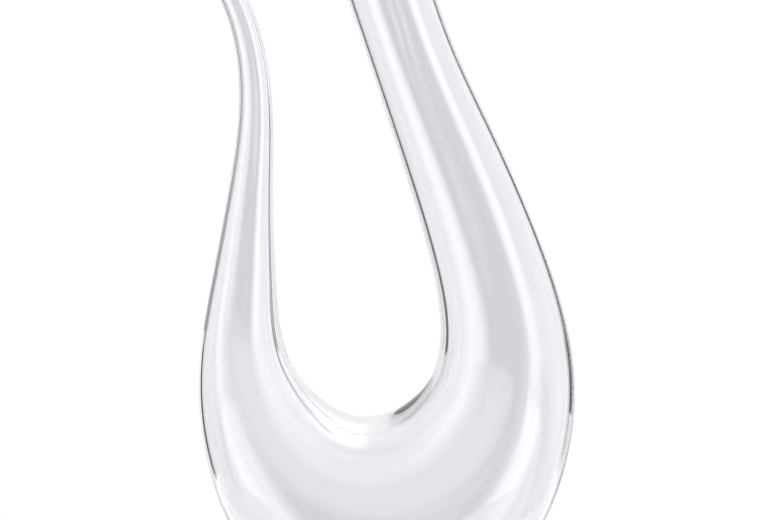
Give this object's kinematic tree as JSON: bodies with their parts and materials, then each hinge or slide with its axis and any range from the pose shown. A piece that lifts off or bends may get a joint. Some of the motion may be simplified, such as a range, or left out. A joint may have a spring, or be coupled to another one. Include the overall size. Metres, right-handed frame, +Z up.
{
  "type": "wine decanter",
  "caption": "U-shaped clear glass wine decanter: a deep oval bowl between a wide leaning filling neck and a slim tapering pouring horn.",
  "frame": {"origin": "on the table, under the middle of the overall width and depth", "axes": "+Z up along the overall height, +X from the pouring horn to the filling neck, +Y along the depth, across the plane that the bent axis lies in"},
  "size_m": [0.1949, 0.0994, 0.3496],
  "materials": {
    "glass": "clear, polished, with the faintest lavender-grey cast"
  },
  "bodies": {
    "root": {"foot": "glass", "lower_belly": "glass", "horn_flank": "glass", "neck_flank": "glass", "horn_shoulder": "glass", "neck_shoulder": "glass", "horn_stem": "glass", "horn_tip": "glass", "neck_stem": "glass", "neck_throat": "glass", "spout_rim": "glass", "neck_rim": "glass"}
  },
  "joints": []
}
